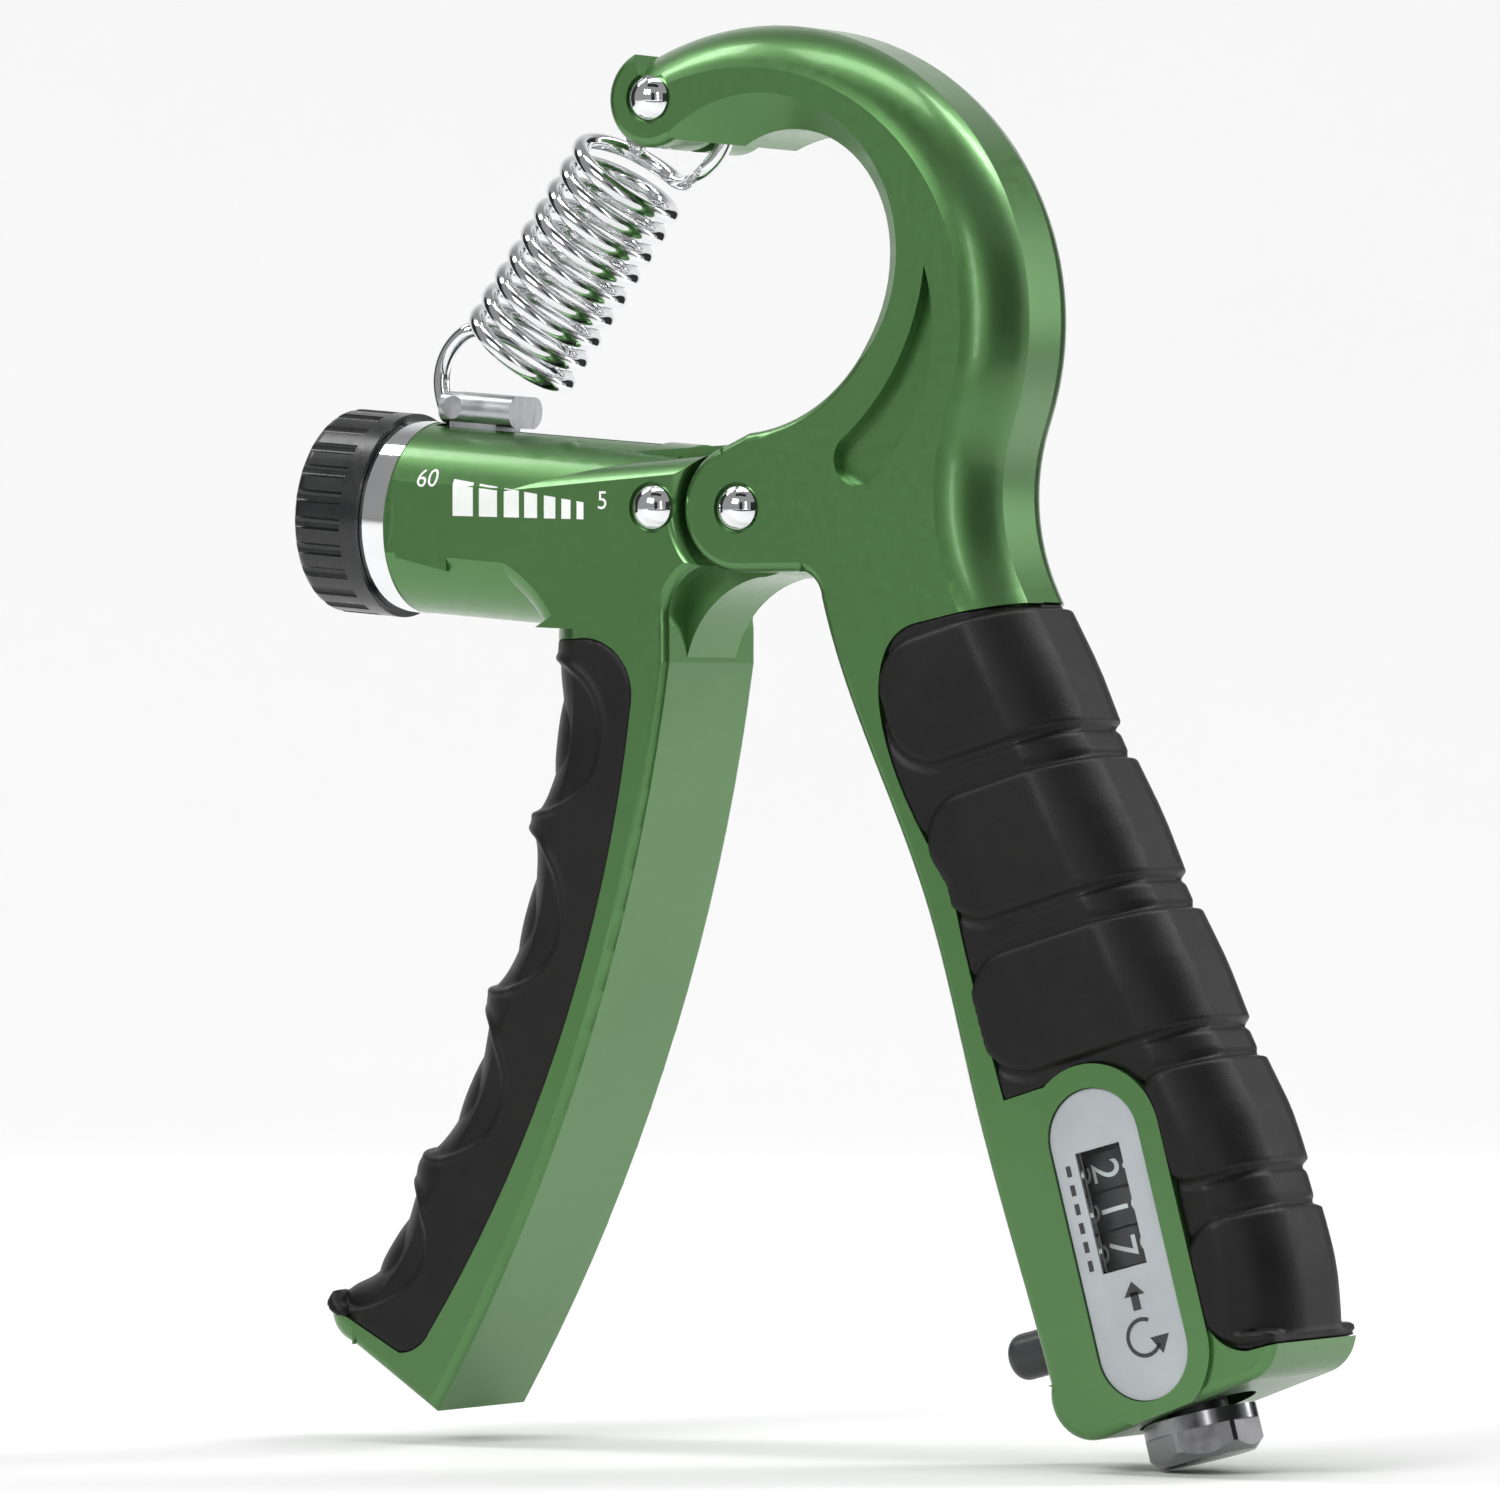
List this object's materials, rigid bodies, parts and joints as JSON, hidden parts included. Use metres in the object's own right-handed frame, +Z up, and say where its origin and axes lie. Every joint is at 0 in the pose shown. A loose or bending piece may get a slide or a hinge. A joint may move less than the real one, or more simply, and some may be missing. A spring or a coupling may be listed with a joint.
{
  "type": "spring hand grip exerciser",
  "caption": "Squeeze grip with two hinged handles, a tension spring set by a threaded knob, rubber grips and a repetition counter with reset knob.",
  "frame": {"origin": "middle of the base of the whole object's box", "axes": "+X towards the palm handle, +Y from the counter's face to the back, +Z up, with the object standing on the lever's foot and the reset knob"},
  "size_m": [0.1258, 0.0232, 0.1584],
  "materials": {
    "shell": "satin metallic paint on moulded plastic",
    "rubber_grip": "matt soft rubber",
    "cover": "satin metallic paint on moulded plastic",
    "polished_steel": "polished",
    "spring_steel": "bright plated wire",
    "plain_steel": "plain turned steel",
    "brass_bush": "turned",
    "knob_black": "satin moulded plastic",
    "counter_black": "fine matt",
    "plate_silver": "smooth silver label plate",
    "clear": "clear lens",
    "gunmetal": "dark plated metal",
    "white_plastic": "moulded acetal",
    "trigger_grey": "moulded acetal"
  },
  "bodies": {
    "frame": {"handle_body": "shell", "palm_grip": "rubber_grip", "handle_back_cover": "cover", "handle_cover_screws": "plain_steel", "pivot_pin": "polished_steel", "pivot_washers": "white_plastic", "spring_pin": "polished_steel", "counter_plate": "plate_silver", "counter_window": "clear", "counter_frame": "plain_steel", "pinion_shaft": "plain_steel", "trigger_spring": "spring_steel", "reset_spring": "spring_steel"},
    "lever": {"lever_body": "shell", "finger_grip": "rubber_grip", "lever_back_cover": "cover", "lever_cover_screws": "plain_steel", "pivot_bush": "brass_bush", "bearing_block": "white_plastic", "bearing_pin": "polished_steel", "tube_end_bush": "white_plastic", "collar": "polished_steel"},
    "adjuster": {"adjusting_knob": "knob_black", "knob_screw": "plain_steel", "lead_screw": "plain_steel"},
    "slider_unit": {"slider": "plain_steel", "slider_cross_pin": "plain_steel"},
    "spring_hanger": {"spring_roller": "plain_steel"},
    "spring_top": {"spring_upper_hook": "spring_steel", "spring_coil": "spring_steel"},
    "spring_low": {"spring_end_coil": "spring_steel"},
    "spring_hook": {"spring_lower_hook": "spring_steel"},
    "trigger_unit": {"trigger_button": "trigger_grey", "trigger_pawl": "plain_steel"},
    "reset_slide": {"reset_bush": "trigger_grey"},
    "reset_shaft": {"reset_knob": "gunmetal", "counter_spindle": "plain_steel"},
    "units": {"units_wheel": "counter_black"},
    "tens": {"tens_wheel": "counter_black"},
    "hundreds": {"hundreds_wheel": "counter_black"},
    "pinion_low": {"carry_pinion_tens": "white_plastic"},
    "pinion_high": {"carry_pinion_hundreds": "white_plastic"}
  },
  "joints": [
    {"name": "squeeze", "type": "hinge", "parent": "frame", "child": "lever", "pos_m": [-0.00415, 0, 0.10478], "axis": [0, -1, 0], "range_deg": [0, 38.3], "stiffness_Nm_per_rad": 20, "springref_deg": -20.05},
    {"name": "adjust_knob", "type": "hinge", "parent": "lever", "child": "adjuster", "pos_m": [-0.04995, 0, 0.10444], "axis": [0.9962, 0, -0.0872], "range_deg": [-3600, 0]},
    {"name": "slider_move", "type": "slide", "parent": "lever", "child": "slider_unit", "axis": [0.9962, 0, -0.0872], "range_m": [0, 0.02]},
    {"name": "spring_swing", "type": "hinge", "parent": "frame", "child": "spring_hanger", "pos_m": [-0.01554, 0, 0.15038], "axis": [0, -1, 0], "range_deg": [0, 17]},
    {"name": "spring_lean", "type": "hinge", "parent": "spring_hanger", "child": "spring_top", "pos_m": [-0.01554, 0, 0.15038], "axis": [0, -1, 0], "range_deg": [0, 25.85]},
    {"name": "spring_stretch", "type": "slide", "parent": "spring_top", "child": "spring_low", "axis": [-0.6664, 0, -0.7456], "range_m": [0, 0.02307], "deforming": ["spring_coil", "spring_end_coil", "spring_lower_hook"]},
    {"name": "spring_ease", "type": "slide", "parent": "spring_low", "child": "spring_hook", "axis": [-0.6664, 0, -0.7456], "range_m": [-0.0083, 0]},
    {"name": "trigger_press", "type": "slide", "parent": "frame", "child": "trigger_unit", "axis": [0.9659, 0, 0.2588], "range_m": [0, 0.003], "stiffness_N_per_m": 200, "springref_m": -0.003, "deforming": ["trigger_spring"]},
    {"name": "reset_push", "type": "slide", "parent": "frame", "child": "reset_slide", "axis": [-0.2588, 0, 0.9659], "range_m": [0, 0.0015], "stiffness_N_per_m": 400, "springref_m": -0.008, "deforming": ["reset_spring"]},
    {"name": "reset_turn", "type": "hinge", "parent": "reset_slide", "child": "reset_shaft", "pos_m": [0.04963, -0.0014, 0.00453], "axis": [0.2588, 0, -0.9659], "continuous": true},
    {"name": "units_turn", "type": "hinge", "parent": "frame", "child": "units", "pos_m": [0.04427, -0.0014, 0.02453], "axis": [0.2588, 0, -0.9659], "continuous": true},
    {"name": "tens_turn", "type": "hinge", "parent": "frame", "child": "tens", "pos_m": [0.04315, -0.0014, 0.02868], "axis": [0.2588, 0, -0.9659], "continuous": true},
    {"name": "hundreds_turn", "type": "hinge", "parent": "frame", "child": "hundreds", "pos_m": [0.04204, -0.0014, 0.03284], "axis": [0.2588, 0, -0.9659], "continuous": true},
    {"name": "pinion_low_turn", "type": "hinge", "parent": "frame", "child": "pinion_low", "pos_m": [0.03627, 0.003, 0.02461], "axis": [0.2588, 0, -0.9659], "continuous": true},
    {"name": "pinion_high_turn", "type": "hinge", "parent": "frame", "child": "pinion_high", "pos_m": [0.03516, 0.003, 0.02876], "axis": [0.2588, 0, -0.9659], "continuous": true}
  ],
  "couplings": [
    {"joint": "slider_move", "follows": "adjust_knob", "m_per_rad": -0.00031831},
    {"joint": "spring_swing", "follows": "squeeze", "ratio": 0.44386},
    {"joint": "spring_lean", "follows": "adjust_knob", "ratio": -0.0071805},
    {"joint": "spring_stretch", "follows": "squeeze", "m_per_rad": 0.034512},
    {"joint": "spring_ease", "follows": "adjust_knob", "m_per_rad": 0.0001321},
    {"joint": "tens_turn", "follows": "units_turn", "ratio": 0.1},
    {"joint": "hundreds_turn", "follows": "units_turn", "ratio": 0.01},
    {"joint": "pinion_low_turn", "follows": "units_turn", "ratio": -0.25},
    {"joint": "pinion_high_turn", "follows": "units_turn", "ratio": -0.025}
  ]
}
